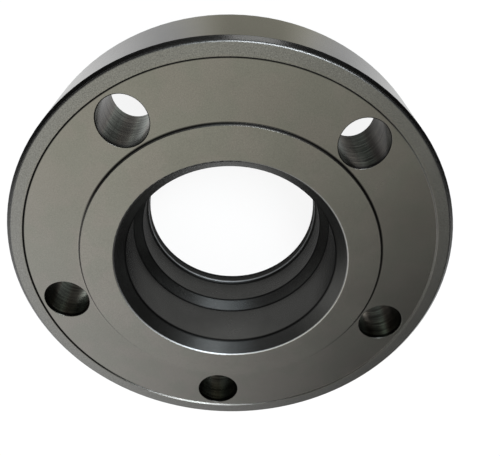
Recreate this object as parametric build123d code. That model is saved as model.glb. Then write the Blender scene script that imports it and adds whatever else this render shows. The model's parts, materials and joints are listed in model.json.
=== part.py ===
from build123d import *
import math
import os

# Hub and wheel fixing that the spacer fits, in mm and degrees
bolt_count = 5
bolt_circle_d = 120.0
bolt_d = 14.0
centre_bore_d = 72.6

# Clearances on the bolts and between the lip and the bore of the wheel
bolt_clearance = 1.5
lip_clearance = 0.1

# Disc: distance between the hub face and the wheel face, and metal outside the bolt holes
spacing = 27.0
rim_wall = 6.75

# Hub side: contact pad round the bore and land round the rim, both standing above the web
pad_h = 0.65
pad_hole_gap = 0.85
rim_land_h = 0.45
rim_land_hole_gap = 1.25

# Hub bore: entry flare, its rounded mouth, and height of the bore's end above the wheel face
entry_flare_step = 3.55
entry_flare_h = 4.4
entry_round_r = 0.8
bore_end_h = 4.7

# Lip that centres the wheel
lip_h = 15.0
lip_wall = 3.0
lip_lead = 1.3

# Narrow land at the lip's end, and the slope of both cones in the bore
end_land_step = 0.8
end_land_h = 4.1
cone_angle = 40.0

# Edge breaks at 45 degrees, and the rounding where the rim's break meets its land
rim_break = 1.25
rim_round_r = 0.8
wheel_face_break = 1.3
hole_hub_break = 0.25
hole_wheel_break = 1.0
lip_end_break = 0.3

# Radii that follow
bolt_hole_r = (bolt_d + bolt_clearance) / 2
bolt_circle_r = bolt_circle_d / 2
outer_r = bolt_circle_r + bolt_hole_r + rim_wall
pad_foot_r = bolt_circle_r - bolt_hole_r - pad_hole_gap
rim_land_foot_r = bolt_circle_r + bolt_hole_r + rim_land_hole_gap
rim_land_r = outer_r - rim_break
hub_bore_r = centre_bore_d / 2
entry_mouth_r = hub_bore_r + entry_flare_step
lip_r = (centre_bore_d - lip_clearance) / 2
lip_bore_r = lip_r - lip_wall
end_land_r = lip_bore_r - end_land_step

# Heights that follow, from the end of the lip upward
wheel_face_z = lip_h
hub_face_z = wheel_face_z + spacing
web_face_z = hub_face_z - pad_h
rim_land_z = web_face_z + rim_land_h
bore_end_z = wheel_face_z + bore_end_h


def cone_height(radial_step):
    """Height of a cone in the bore that narrows it by the given step of radius."""
    return radial_step / math.tan(math.radians(cone_angle))


def hub_side_outline():
    """Points of the hub side, from the bore's entry out to the rim."""
    return [
        (hub_bore_r, hub_face_z - entry_flare_h),
        (entry_mouth_r, hub_face_z),
        (pad_foot_r - pad_h, hub_face_z),
        (pad_foot_r, web_face_z),
        (rim_land_foot_r, web_face_z),
        (rim_land_foot_r + rim_land_h, rim_land_z),
        (rim_land_r, rim_land_z),
        (outer_r, rim_land_z - rim_break),
    ]


def wheel_side_outline():
    """Points of the wheel side, from the rim in to the lip and down its outside."""
    return [
        (outer_r, wheel_face_z + wheel_face_break),
        (outer_r - wheel_face_break, wheel_face_z),
        (lip_r, wheel_face_z),
        (lip_r, lip_lead),
        (lip_r - lip_lead, 0),
    ]


def bore_outline():
    """Points of the bore, from the lip's end up to the foot of the hub bore."""
    return [
        (end_land_r + lip_end_break, 0),
        (end_land_r, lip_end_break),
        (end_land_r, end_land_h),
        (lip_bore_r, end_land_h + cone_height(end_land_step)),
        (lip_bore_r, bore_end_z - cone_height(hub_bore_r - lip_bore_r)),
        (hub_bore_r, bore_end_z),
    ]


def turned(points, roundings=()):
    """Solid of revolution about +Z of (radius, height) points.

    Each rounding is the (radius, height) of a corner and the radius that rounds it.
    """
    section = make_face(Polyline([(radius, 0, height) for radius, height in points], close=True))
    for corner_at, round_r in roundings:
        corner = section.vertices().sort_by_distance((corner_at[0], 0, corner_at[1]))[0]
        section = fillet(corner, round_r)
    return revolve(section, Axis.Z)


def bolt_hole():
    """Material of one bolt hole with a broken edge at each face, on the Z axis."""
    hub_mouth_r = bolt_hole_r + hole_hub_break
    wheel_mouth_r = bolt_hole_r + hole_wheel_break
    return turned([
        (0, wheel_face_z),
        (wheel_mouth_r, wheel_face_z),
        (bolt_hole_r, wheel_face_z + hole_wheel_break),
        (bolt_hole_r, web_face_z - hole_hub_break),
        (hub_mouth_r, web_face_z),
        (0, web_face_z),
    ])


def wheel_spacer():
    """Disc, centring lip and stepped bore in one turning, drilled for the bolts."""
    entry_mouth = ((entry_mouth_r, hub_face_z), entry_round_r)
    rim_corner = ((rim_land_r, rim_land_z), rim_round_r)
    outline = hub_side_outline() + wheel_side_outline() + bore_outline()
    body = turned(outline, [entry_mouth, rim_corner])
    hole = bolt_hole()
    turn = 360 / bolt_count
    for index in range(bolt_count):
        body -= Rot(0, 0, index * turn) * Pos(0, bolt_circle_r, 0) * hole
    return body


os.makedirs("parts", exist_ok=True)
export_step(wheel_spacer(), "parts/wheel_spacer.step")
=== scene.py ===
import json
import math

import bpy
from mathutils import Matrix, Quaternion, Vector

MM = 0.001
WHITE = (1.0, 1.0, 1.0, 1.0)

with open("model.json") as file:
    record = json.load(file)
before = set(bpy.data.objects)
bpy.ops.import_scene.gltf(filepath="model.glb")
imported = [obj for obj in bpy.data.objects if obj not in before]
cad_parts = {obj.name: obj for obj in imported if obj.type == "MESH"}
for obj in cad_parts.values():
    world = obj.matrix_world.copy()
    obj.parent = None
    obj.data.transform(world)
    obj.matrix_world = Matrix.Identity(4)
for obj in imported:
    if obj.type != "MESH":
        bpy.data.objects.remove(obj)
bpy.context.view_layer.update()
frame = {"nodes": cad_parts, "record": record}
spacer = frame["nodes"]["wheel_spacer"]
mounts = {mount["name"]: mount for mount in frame["record"]["mounts"]}
bolts = mounts["bolts"]["dims"]

# Sizes of the part that the finish follows. The margins outside a bolt hole take in its wall, and
# its wall and its broken edge
bolt_count = bolts["count"]
bolt_circle_r = bolts["pcd_mm"] / 2 * MM
bolt_hole_r = bolts["hole_r_mm"] * MM
web_face_z = mounts["bolts"]["pos_m"][2]
wheel_face_z = mounts["wheel_face"]["pos_m"][2]
bore_mouth_r = 39.6 * MM
bore_edges_r = 38.1 * MM
pad_foot_r = 51.4 * MM
rim_land_r = 69.0 * MM
land_low_z = 41.5 * MM
rim_break_r = 73.4 * MM
break_low_z = 40.5 * MM
hole_margin = 0.1 * MM
hole_edge_margin = 0.3 * MM

# Widths over which the finish changes where one face ends
soft_width = 0.1 * MM
break_soft_width = 0.2 * MM
pad_fade = 1.0 * MM
land_fade = 1.5 * MM

# Roundings of the bore's mouth and of the rim, in mm: way they face (-1 inward), height of their
# centre and of their foot, and the two radii between which they lie
rounding_r = 0.8
roundings = ((-1.0, 41.20, 41.70, 36.0, 42.0), (1.0, 41.00, 41.57, 70.5, 75.0))

# Colours of the finish, and of its painted shade, highlights and reflections
anodised_olive = (0.162, 0.161, 0.148, 1.0)
anodised_warm = (0.170, 0.164, 0.153, 1.0)
land_grey = (0.163, 0.163, 0.158, 1.0)
# The bore's two colours are the anodising darkened as painted shade inside the bore, with a random
# tone between them
bore_shaded_dark = (0.118, 0.118, 0.112, 1.0)
bore_shaded_light = (0.138, 0.138, 0.132, 1.0)
# Warm and cool tints of the painted reflection bands in the bolt holes
hole_reflection_warm = (1.06, 0.99, 0.90, 1.0)
hole_reflection_cool = (0.89, 1.04, 0.97, 1.0)
# Bare metal of the worn edges, bright enough to paint their highlights as well
wear_and_highlight_colour = (0.62, 0.63, 0.64, 1.0)
# Near black, painted as shade in the bore's corners, on one side of the web's corners and in the
# bolt holes' mouths
painted_shade_colour = (0.010, 0.010, 0.010, 1.0)

# Gloss of the finish
satin_roughness = 0.26
land_roughness = 0.30
worn_roughening = 0.20
break_smoothing = 0.09
bore_metallic = 0.95

# Real size of the marks, and how they are stretched in X, Y and Z
edge_radius = 0.12 * MM
bore_edge_radius = 0.30 * MM
turning_pitch = 0.55 * MM
grain_size = 0.36 * MM
mottle_size = 22 * MM
tint_size = 9 * MM
feed_size = 1.0 * MM
feed_stretch = (0.08, 0.08, 1.0)
streak_size = 4.0 * MM
streak_stretch = (1.0, 1.0, 0.03)

# Depth of the marks, in mm
turning_depth = 0.006
grain_depth = 0.010
land_grain_depth = 0.040
feed_depth = 0.040

# Noise from and to, where one colour gives way to the other
tint_range = (0.40, 0.60)
bore_tint_range = (0.35, 0.65)

# Noise from and to, and what it makes there: change of level, level, or change of roughness
speckle_levels = (0.30, 0.70, -0.36, 0.31)
streak_levels = (0.35, 0.65, 0.75, 1.30)
feed_levels = (0.33, 0.67, 0.45, 1.60)
mottle_levels = (0.30, 0.70, 0.97, 1.03)
mottle_roughness = (0.30, 0.70, -0.015, 0.015)

# Share of the speckle that shows off the rim's land, level of the web, and level of the painted
# shade on the rim's break
plain_speckle = 0.35
web_dulling = 0.95
break_painted_shade = 0.75

# Painted reflection bands along a bolt hole: place across the hole from -1 to 1, and how light the
# painted reflection makes the finish there. They are warm where they are darkest and cool where they
# are lightest
hole_reflection_bands = ((-1.0, 0.3), (-0.85, 0.65), (-0.55, 1.45), (-0.25, 1.3), (0.0, 0.95), (0.20, 0.85),
              (0.50, 1.40), (0.72, 1.45), (0.93, 0.35), (1.0, 0.2))
hole_reflection_range = (0.7, 1.6)

# Slopes of the bore, darkened with painted shade on one side: how far up the surface faces, the side
# on which the shade is painted, and the cosines of the angle to that side, from and to, with the
# levels there
slope_range = (0.3, 0.5)
slope_shade_side = (0.94, 0.34)
slope_shade_levels = (0.50, 0.95, 0.92, 0.55)

# Corners in the bore darkened with painted shade: radius, height and reach, in mm
bore_corners = ((36.3, 37.6, 0.9), (36.3, 19.7, 0.6), (33.25, 16.1, 0.6), (33.3, 5.15, 0.7),
                (32.45, 0.4, 1.0))

# Corners of the web, darkened with painted shade on one side: the same, and the X and Y of that
# side.
# The cosines are of the angle to that side, where the painted shade starts and is full
web_corners = (((69.1, 41.45, 0.40), (0.79, -0.62)), ((51.3, 41.45, 0.60), (-0.39, -0.92)))
web_side_cosines = (-0.22, 0.16)

# Share of a corner's reach that is fully dark, and how much of the colour the painted shade covers
corner_core = 0.3
painted_shade_strength = 0.92

# Mouths of the bolt holes darkened with painted shade: heights where it starts and is full, and the
# height above which nothing is darkened
hub_mouth_z = (web_face_z - 1.8 * MM, web_face_z - 1.2 * MM)
wheel_mouth_z = (wheel_face_z + 1.6 * MM, wheel_face_z + 1.2 * MM)
mouth_top_z = web_face_z - 0.03 * MM

# Edges in the bore worn to the metal and lightened further as a painted highlight, in mm: heights
# where the wear starts, is full, is still full and ends, and a radius outside it. The mouth's
# painted highlight is stronger on one side, by cosines as the slopes
worn_and_highlit_mouth = (41.64, 41.72, 41.92, 41.975, 45.0)
worn_and_highlit_end = (3.75, 4.02, 4.22, 4.50, 34.0)
mouth_highlight_side = (0.10, 0.99)
mouth_highlight_levels = (0.0, 0.7, 0.25, 1.0)
wear_and_highlight_strength = 0.8

# Floor to the camera and in plain light
floor_half = 6.0
floor_colour = (0.95, 0.95, 0.95, 1.0)
floor_to_camera = 0.87

# Floor as the metal mirrors it, ring by ring out from the axis, in metres: where each ring gives
# way to the next, and the levels in the bore by distance, in the bolt holes by Y and by X, beside
# the part by the distance from a middle line and by Y, further out, and far off by Y
ring_ends = ((0.036, 0.046), (0.070, 0.075), (0.110, 0.160), (0.24, 0.31))
floor_in_bore = ((0.006, 0.60), (0.014, 0.30), (0.0255, 0.30), (0.0325, 0.05))
floor_in_holes = ((-0.0565, 0.10), (-0.0485, 0.20), (-0.0435, 0.75), (-0.036, 0.75), (-0.025, 0.10),
                  (0.0, 0.14), (0.015, 0.32), (0.030, 0.32), (0.050, 0.14))
floor_in_holes_by_x = (-0.036, -0.020, 0.50, 1.0)
floor_mid_x = -0.0015
floor_beside_near = (0.008, 0.024, 0.42, 0.65)
floor_beside_wide = (0.03, 0.07, 0.0, 0.50)
floor_beside_by_y = (-0.05, 0.0, 0.0, 0.65)
floor_further = 0.45
floor_far_by_y = (-0.05, 0.25, 0.05, 0.65)

# Warm part of the mirrored floor: distance from the axis, and distance from the middle line
floor_warm = (1.0, 0.97, 0.80, 1.0)
warm_distance = (0.060, 0.074)
warm_sideways = (0.035, 0.010)

# Soft box overhead as the metal mirrors it, by the direction's X, Y and Z: value from and to, and
# the levels there. It is brighter to +X, ends at +X and -X, and fades toward -Y and low down
box_by_x_and_y = (-0.22, 0.21, 0.10, 1.91)
box_right_end = (0.45, 0.75, 1.0, 0.2)
box_left_end = (-0.95, -0.65, 0.08, 1.0)
box_by_height = (0.15, 1.0, 0.49, 1.20)
box_front_end = (-0.45, 0.0, 0.05, 1.0)
box_front_slant = 0.45
box_low_end = (0.20, 0.42)
box_warm = (1.0, 0.985, 0.86, 1.0)
box_warm_height = (0.70, 0.92)

# Walls of the studio: a glow low down at +X and +Y, a band all round that is dimmer at -X, and an
# even level behind it all
glow_by_y = (-0.12, 0.3, 0.0, 0.5)
glow_by_x = (-0.1, 0.5)
band_low_end = (0.22, 0.28)
band_high_end = (0.38, 0.32)
band_by_x = (-0.85, -0.50, 0.06, 0.40)
wall_level = 0.02

# Lamps: name, place, width and height, power and colour
lamps = (
    ("window", (-0.20, -0.70, 1.05), (0.42, 0.50), 11.0, (0.88, 0.94, 1.0)),
    ("strip", (-0.03, -0.80, 0.44), (0.70, 0.16), 0.24, (0.78, 0.92, 1.05)),
    ("low_strip", (-0.04, -0.85, 0.20), (0.26, 0.12), 0.19, (1.0, 1.0, 1.0)),
)

# Camera: where it stands, how it is turned in degrees, and its lens
camera_place = Vector((7.8, -109.6, 196.7)) * MM
camera_azimuth = 5.71
camera_elevation = 51.80
camera_roll = 179.76
sensor_width = 36.0
lens_length = 39.88
shift_right = 0.02
shift_up = 0.14
clip_start = 1 * MM
clip_end = 100.0


class Nodes:
    """Adds nodes to the tree of a material or world, and joins them up."""

    def __init__(self, owner):
        owner.use_nodes = True
        self.tree = owner.node_tree
        self.tree.nodes.clear()

    def add(self, kind, settings=None, **inputs):
        """New node. Each input is a value or another node's output, by its name or as i0, i1, ..."""
        node = self.tree.nodes.new(kind)
        for name, value in (settings or {}).items():
            setattr(node, name, value)
        for name, value in inputs.items():
            key = int(name[1:]) if name[1:].isdigit() else name.replace("_", " ")
            self.set(node.inputs[key], value)
        return node

    def set(self, socket, value):
        if isinstance(value, bpy.types.NodeSocket):
            self.tree.links.new(value, socket)
        else:
            socket.default_value = value

    def math(self, operation, first, second=0.0, third=0.0):
        settings = {"operation": operation}
        return self.add("ShaderNodeMath", settings, i0=first, i1=second, i2=third).outputs[0]

    def chain(self, operation, values):
        """One operation applied along the values."""
        found = values[0]
        for value in values[1:]:
            found = self.math(operation, found, value)
        return found

    def total(self, *values):
        return self.chain("ADD", values)

    def product(self, *values):
        return self.chain("MULTIPLY", values)

    def highest(self, *values):
        return self.chain("MAXIMUM", values)

    def length(self, first, second):
        """Length of a line from the two distances it covers."""
        squares = self.total(self.product(first, first), self.product(second, second))
        return self.math("SQRT", squares)

    def ramp(self, value, low, high, to_low=0.0, to_high=1.0, smooth=True):
        """Maps a value from low..high to to_low..to_high, held at the ends."""
        settings = {"interpolation_type": "SMOOTHSTEP" if smooth else "LINEAR"}
        node = self.add("ShaderNodeMapRange", settings, i0=value, i1=low, i2=high, i3=to_low,
                        i4=to_high)
        return node.outputs[0]

    def where(self, mask, off, on):
        """Number that is off where the mask is 0 and on where it is 1."""
        return self.ramp(mask, 0.0, 1.0, off, on, smooth=False)

    def curve(self, value, points):
        """Smooth curve through (value, result) points, in rising order of value."""
        found = points[0][1]
        for (low, low_result), (high, high_result) in zip(points, points[1:]):
            found = self.total(found, self.ramp(value, low, high, 0.0, high_result - low_result))
        return found

    def blend(self, factor, first, second):
        """Colour or vector between first and second."""
        settings = {"data_type": "RGBA"}
        return self.add("ShaderNodeMix", settings, i0=factor, i6=first, i7=second).outputs[2]

    def noise(self, vector, size, detail=2.0, roughness=0.5):
        """Noise of about 0 to 1, whose largest features have the given size in metres."""
        node = self.add("ShaderNodeTexNoise", Vector=vector, Scale=1 / size, Detail=detail,
                        Roughness=roughness)
        return node.outputs[0]

    def vector(self, operation, first, second=(0.0, 0.0, 0.0)):
        """Vector math, which gives a number for a distance, a dot product or a length."""
        node = self.add("ShaderNodeVectorMath", {"operation": operation}, i0=first, i1=second)
        gives_number = operation in ("DISTANCE", "DOT_PRODUCT", "LENGTH")
        return node.outputs["Value" if gives_number else "Vector"]

    def scale(self, vector, factor):
        settings = {"operation": "SCALE"}
        return self.add("ShaderNodeVectorMath", settings, i0=vector, Scale=factor).outputs[0]

    def combine(self, x=0.0, y=0.0, z=0.0):
        return self.add("ShaderNodeCombineXYZ", i0=x, i1=y, i2=z).outputs[0]

    def split(self, vector):
        """X, Y and Z of a vector."""
        return self.add("ShaderNodeSeparateXYZ", Vector=vector).outputs


class FinishWithPaintedLight(Nodes):
    """Dark grey hard anodising on turned aluminium, by the place on the spacer, with painted shade,
    highlights and reflections.
    """

    def __init__(self, material):
        super().__init__(material)
        self.find_place()
        self.find_bolt_hole()
        self.find_faces()
        self.find_marks()
        self.find_normal()
        self.find_wear_and_highlight()
        shader = self.add("ShaderNodeBsdfPrincipled", Base_Color=self.colour(),
                          Metallic=self.where(self.in_bore, 1.0, bore_metallic),
                          Roughness=self.roughness(), Normal=self.bump())
        self.add("ShaderNodeOutputMaterial", Surface=shader.outputs[0])

    def find_place(self):
        """Place on the spacer, and on its section: distance from the axis and height."""
        self.place = self.add("ShaderNodeTexCoord").outputs["Object"]
        self.x, self.y, self.z = self.split(self.place)
        self.radius = self.length(self.x, self.y)
        self.section = self.combine(self.radius, self.z)

    def find_bolt_hole(self):
        """Place from the nearest bolt hole's axis, found by folding the angle to one hole."""
        half_sector = math.pi / bolt_count
        angle = self.math("ARCTAN2", self.y, self.x)
        from_first = self.math("SUBTRACT", angle, math.pi / 2)
        folded = self.math("WRAP", from_first, half_sector, -half_sector)
        hole_angle = self.math("SUBTRACT", angle, folded)
        hole_x = self.product(self.math("COSINE", hole_angle), bolt_circle_r)
        hole_y = self.product(self.math("SINE", hole_angle), bolt_circle_r)
        self.from_hole_x = self.math("SUBTRACT", self.x, hole_x)
        self.from_hole_y = self.math("SUBTRACT", self.y, hole_y)
        from_hole = self.length(self.from_hole_x, self.from_hole_y)
        self.in_hole = self.math("LESS_THAN", from_hole, bolt_hole_r + hole_margin)
        self.about_hole = self.math("LESS_THAN", from_hole, bolt_hole_r + hole_edge_margin)
        # Painted reflection bands across each bolt hole, by the place across it in X
        side_on = self.math("DIVIDE", self.from_hole_x, bolt_hole_r)
        self.hole_reflection = self.curve(side_on, hole_reflection_bands)

    def find_faces(self):
        """Masks of the bore, the rim's land and break, and the way out from the nearest axis."""
        self.in_bore = self.ramp(self.radius, bore_mouth_r + soft_width, bore_mouth_r - soft_width)
        self.on_land = self.beyond(rim_land_r, soft_width, land_low_z)
        self.on_break = self.beyond(rim_break_r, break_soft_width, break_low_z)
        from_axis = self.combine(self.x, self.y)
        from_hole_axis = self.combine(self.from_hole_x, self.from_hole_y)
        from_nearest = self.blend(self.about_hole, from_axis, from_hole_axis)
        self.outward = self.vector("NORMALIZE", from_nearest)

    def beyond(self, low_r, width, low_z):
        """1 outside a radius and above a height."""
        outside = self.ramp(self.radius, low_r - width, low_r + width)
        return self.product(outside, self.math("GREATER_THAN", self.z, low_z))

    def toward(self, side):
        """Cosine of the angle between the way out from the axis and the given X and Y."""
        return self.vector("DOT_PRODUCT", self.outward, (side[0], side[1], 0.0))

    def find_marks(self):
        """Noise of the turning, grain, mottle and tint, and of the drill's feed and streaks."""
        self.turning = self.noise(self.section, turning_pitch, detail=3.0)
        self.grain = self.noise(self.place, grain_size, detail=3.0, roughness=0.7)
        self.mottle = self.noise(self.place, mottle_size, detail=4.0, roughness=0.6)
        self.tint = self.noise(self.place, tint_size)
        feed_at = self.vector("MULTIPLY", self.place, feed_stretch)
        self.feed = self.noise(feed_at, feed_size, roughness=0.6)
        streak_at = self.vector("MULTIPLY", self.place, streak_stretch)
        self.streaks = self.noise(streak_at, streak_size)

    def find_normal(self):
        """Normal of the true surface of revolution, without the facets of the mesh."""
        edge_size = self.ramp(self.radius, bore_edges_r, bore_edges_r - soft_width, edge_radius,
                              bore_edge_radius)
        rounded = self.add("ShaderNodeBevel", {"samples": 8}, Radius=edge_size).outputs[0]
        lean = self.vector("DOT_PRODUCT", rounded, self.outward)
        upright = self.split(rounded)[2]
        for facing, centre_z, foot_z, low_r, high_r in roundings:
            within = self.product(self.math("GREATER_THAN", self.radius, low_r * MM),
                                  self.math("LESS_THAN", self.radius, high_r * MM),
                                  self.math("GREATER_THAN", self.z, foot_z * MM))
            top_z = centre_z + rounding_r
            rise = self.ramp(self.z, centre_z * MM, top_z * MM, smooth=False)
            spread = self.math("SQRT", self.math("SUBTRACT", 1.0, self.product(rise, rise)))
            lean = self.where(within, lean, self.product(spread, facing))
            upright = self.where(within, upright, rise)
        self.upright = upright
        turned = self.vector("ADD", self.scale(self.outward, lean), self.combine(z=upright))
        self.normal = self.vector("NORMALIZE", turned)

    def find_wear_and_highlight(self):
        """1 where the bore's mouth and end are worn to the metal and carry a painted highlight, the
        mouth's stronger on one side.
        """
        mouth_highlight_share = self.ramp(self.toward(mouth_highlight_side), *mouth_highlight_levels)
        mouth = self.product(self.wear_and_highlight_band(worn_and_highlit_mouth), mouth_highlight_share)
        self.wear_and_highlight = self.highest(mouth, self.wear_and_highlight_band(worn_and_highlit_end))

    def wear_and_highlight_band(self, edge):
        """1 where an edge is worn and carries a painted highlight, found by height so that the
        facets of the mesh don't show.
        """
        start_z, full_z, still_full_z, end_z, outer_r = (size * MM for size in edge)
        return self.product(self.ramp(self.z, start_z, full_z),
                            self.ramp(self.z, end_z, still_full_z),
                            self.math("LESS_THAN", self.radius, outer_r))

    def near(self, corner):
        """1 on a corner of the section, falling to 0 at its reach."""
        radius, height, reach = (size * MM for size in corner)
        away = self.vector("DISTANCE", self.section, (radius, height, 0.0))
        return self.ramp(away, reach, corner_core * reach)

    def painted_shade_mask(self):
        """1 where shade is painted: in the corners of the section, on one side of the web's corners
        and in the mouths of the bolt holes.
        """
        mouths = self.highest(self.ramp(self.z, *hub_mouth_z), self.ramp(self.z, *wheel_mouth_z))
        below_top = self.math("LESS_THAN", self.z, mouth_top_z)
        parts = [self.product(self.about_hole, below_top, mouths)]
        for corner in bore_corners:
            parts.append(self.near(corner))
        for corner, side in web_corners:
            on_side = self.ramp(self.toward(side), *web_side_cosines)
            parts.append(self.product(self.near(corner), on_side))
        return self.highest(*parts)

    def level(self):
        """How light the finish is, where 1 leaves its colour as it is, with painted reflections in
        the bolt holes and painted shade on the rim's break and the bore's slopes.
        """
        speckle = self.product(self.where(self.on_land, plain_speckle, 1.0),
                               self.ramp(self.grain, *speckle_levels, smooth=False))
        # Drill marks, with the painted reflection bands of the bolt holes
        drilled_and_reflected = self.product(self.ramp(self.streaks, *streak_levels),
                               self.ramp(self.feed, *feed_levels, smooth=False), self.hole_reflection)
        # Painted shade on one side of the bore's slopes
        on_slope = self.product(self.in_bore, self.ramp(self.upright, *slope_range))
        slope_shade = self.ramp(self.toward(slope_shade_side), *slope_shade_levels)
        web = self.ramp(self.radius, pad_foot_r, pad_foot_r + pad_fade, 1.0, web_dulling)
        # The rim's break is darkened here as painted shade
        return self.product(self.total(1.0, speckle), self.where(self.in_hole, 1.0, drilled_and_reflected),
                            self.ramp(self.mottle, *mottle_levels), web,
                            self.where(self.on_break, 1.0, break_painted_shade),
                            self.where(on_slope, 1.0, slope_shade))

    def colour(self):
        """Colour outside, in the bore and in the bolt holes, under its painted shade and its worn
        edges with their painted highlights; the bore is darkened as painted shade and the bolt holes
        carry painted reflections.
        """
        outside = self.blend(self.ramp(self.tint, *tint_range), anodised_olive, anodised_warm)
        land = self.ramp(self.radius, rim_land_r, rim_land_r + land_fade)
        outside = self.blend(land, outside, land_grey)
        # The bore is darker than the outside as painted shade
        bore = self.blend(self.ramp(self.mottle, *bore_tint_range), bore_shaded_dark, bore_shaded_light)
        found = self.scale(self.blend(self.in_bore, outside, bore), self.level())
        # Painted reflection tint in the bolt holes, warm where darkest and cool where lightest
        hole_reflection_tone = self.ramp(self.hole_reflection, *hole_reflection_range)
        hole_reflection_tone = self.blend(hole_reflection_tone, hole_reflection_warm, hole_reflection_cool)
        found = self.blend(self.in_hole, found, self.vector("MULTIPLY", found, hole_reflection_tone))
        # Painted shade over the colour in the corners and in the bolt holes' mouths
        found = self.blend(self.product(self.painted_shade_mask(), painted_shade_strength), found, painted_shade_colour)
        # Worn edges with their painted highlight
        return self.blend(self.product(self.wear_and_highlight, wear_and_highlight_strength), found, wear_and_highlight_colour)

    def roughness(self):
        return self.total(self.ramp(self.mottle, *mottle_roughness),
                          self.where(self.on_land, satin_roughness, land_roughness),
                          self.product(self.wear_and_highlight, worn_roughening),
                          self.product(self.on_break, -break_smoothing))

    def bump(self):
        """Normal with the relief of the turning, the grain and the drill's feed."""
        grain = self.where(self.on_land, grain_depth, land_grain_depth)
        height = self.total(self.product(self.turning, turning_depth),
                            self.product(self.grain, grain),
                            self.product(self.feed, self.in_hole, feed_depth))
        node = self.add("ShaderNodeBump", Height=height, Distance=MM, Strength=1.0,
                        Normal=self.normal)
        return node.outputs[0]


def ringed(nodes, distance, levels):
    """Level at a distance from the axis, where each ring has a level of its own."""
    found = levels[0]
    for level, (ring_end, next_start) in zip(levels[1:], ring_ends):
        found = nodes.where(nodes.ramp(distance, ring_end, next_start), found, level)
    return found


def floor_finish(material):
    """Pale to the camera and in plain light, and by rings where the metal mirrors it."""
    nodes = Nodes(material)
    paths = nodes.add("ShaderNodeLightPath").outputs
    mirrored = nodes.highest(paths["Is Glossy Ray"], paths["Is Transmission Ray"])
    place = nodes.add("ShaderNodeNewGeometry").outputs["Position"]
    x, y, _ = nodes.split(place)
    distance = nodes.vector("LENGTH", place)
    sideways = nodes.math("ABSOLUTE", nodes.math("SUBTRACT", x, floor_mid_x))

    in_bore = nodes.curve(distance, floor_in_bore)
    in_holes = nodes.product(nodes.curve(y, floor_in_holes), nodes.ramp(x, *floor_in_holes_by_x))
    beside = nodes.total(nodes.ramp(sideways, *floor_beside_near),
                         nodes.ramp(sideways, *floor_beside_wide))
    beside = nodes.highest(beside, nodes.ramp(y, *floor_beside_by_y))
    far_off = nodes.ramp(y, *floor_far_by_y)
    level = ringed(nodes, distance, (in_bore, in_holes, beside, floor_further, far_off))

    warmth = nodes.product(nodes.ramp(distance, *warm_distance),
                           nodes.ramp(sideways, *warm_sideways), mirrored)
    tone = nodes.blend(warmth, WHITE, floor_warm)
    glow = nodes.add("ShaderNodeEmission", Color=tone, Strength=nodes.where(mirrored, 1.0, level))
    lit = nodes.add("ShaderNodeBsdfDiffuse", Color=floor_colour)
    seen = nodes.highest(nodes.product(paths["Is Camera Ray"], floor_to_camera), mirrored)
    both = nodes.add("ShaderNodeMixShader", i0=seen, i1=lit.outputs[0], i2=glow.outputs[0])
    nodes.add("ShaderNodeOutputMaterial", Surface=both.outputs[0])


def studio_level(nodes, x, y, z):
    """Level of the studio in a direction, as the metal mirrors it."""
    turned = nodes.product(x, nodes.highest(y, 0.0))
    slanted = nodes.total(y, nodes.product(nodes.math("MINIMUM", x, 0.0), box_front_slant))
    above = nodes.ramp(z, *box_low_end)
    box = nodes.product(nodes.ramp(turned, *box_by_x_and_y, smooth=False),
                        nodes.ramp(x, *box_right_end),
                        nodes.ramp(z, *box_by_height, smooth=False),
                        nodes.ramp(slanted, *box_front_end),
                        nodes.ramp(x, *box_left_end), above)
    glow = nodes.product(nodes.ramp(y, *glow_by_y), nodes.ramp(x, *glow_by_x),
                         nodes.math("SUBTRACT", 1.0, above))
    band = nodes.product(nodes.ramp(z, *band_low_end), nodes.ramp(z, *band_high_end),
                         nodes.ramp(x, *band_by_x))
    return nodes.total(box, glow, band, wall_level)


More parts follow.
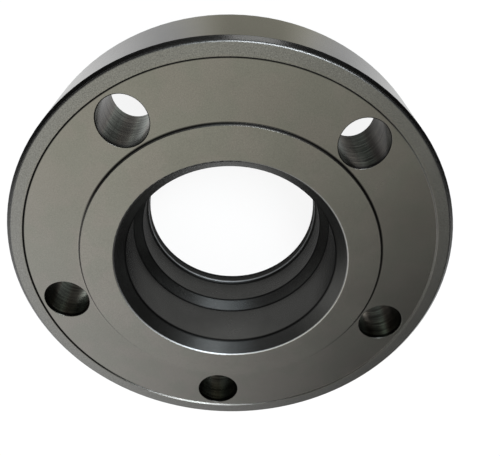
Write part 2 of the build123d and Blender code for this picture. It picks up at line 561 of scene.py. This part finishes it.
def studio_finish(world):
    """White to the camera and in plain light, and a studio where the metal mirrors it."""
    nodes = Nodes(world)
    direction = nodes.add("ShaderNodeTexCoord").outputs["Generated"]
    x, y, z = nodes.split(direction)
    mirrored = nodes.add("ShaderNodeLightPath").outputs["Is Glossy Ray"]
    level = nodes.where(mirrored, 1.0, studio_level(nodes, x, y, z))
    warmth = nodes.product(mirrored, nodes.ramp(z, *box_warm_height))
    tone = nodes.blend(warmth, WHITE, box_warm)
    sky = nodes.add("ShaderNodeBackground", Color=tone, Strength=level)
    nodes.add("ShaderNodeOutputWorld", Surface=sky.outputs[0])


def area_lamp(name, place, size, power, colour):
    """Rectangular soft lamp that faces the origin."""
    data = bpy.data.lights.new(name, "AREA")
    data.shape = "RECTANGLE"
    data.size, data.size_y = size
    data.energy = power
    data.color = colour
    lamp = bpy.data.objects.new(name, data)
    lamp.location = place
    lamp.rotation_mode = "QUATERNION"
    lamp.rotation_quaternion = (-lamp.location).to_track_quat("-Z", "Y")
    bpy.context.scene.collection.objects.link(lamp)


def place_camera():
    """Camera at the photograph's viewing angle."""
    data = bpy.data.cameras.new("camera")
    data.sensor_width = sensor_width
    data.lens = lens_length
    data.shift_x = shift_right
    data.shift_y = shift_up
    data.clip_start = clip_start
    data.clip_end = clip_end
    camera = bpy.data.objects.new("camera", data)
    azimuth = math.radians(camera_azimuth)
    elevation = math.radians(camera_elevation)
    level_part = math.cos(elevation)
    back = Vector((math.sin(azimuth) * level_part, -math.cos(azimuth) * level_part,
                   math.sin(elevation)))
    roll = Quaternion((0.0, 0.0, 1.0), math.radians(camera_roll))
    camera.location = camera_place
    camera.rotation_mode = "QUATERNION"
    camera.rotation_quaternion = (-back).to_track_quat("-Z", "Y") @ roll
    bpy.context.scene.collection.objects.link(camera)
    bpy.context.scene.camera = camera


# Finish of the spacer, with its painted shade, highlights and reflections
anodising = bpy.data.materials.new("anodised_aluminium")
FinishWithPaintedLight(anodising)
spacer.data.materials.clear()
spacer.data.materials.append(anodising)

# Floor, studio, lamps and camera
bpy.ops.mesh.primitive_plane_add(size=2 * floor_half)
floor = bpy.context.object
floor.name = "floor"
floor_material = bpy.data.materials.new("floor")
floor_finish(floor_material)
floor.data.materials.append(floor_material)

world = bpy.data.worlds.new("studio")
bpy.context.scene.world = world
studio_finish(world)

for lamp_row in lamps:
    area_lamp(*lamp_row)

place_camera()
bpy.context.scene.view_settings.view_transform = "Standard"
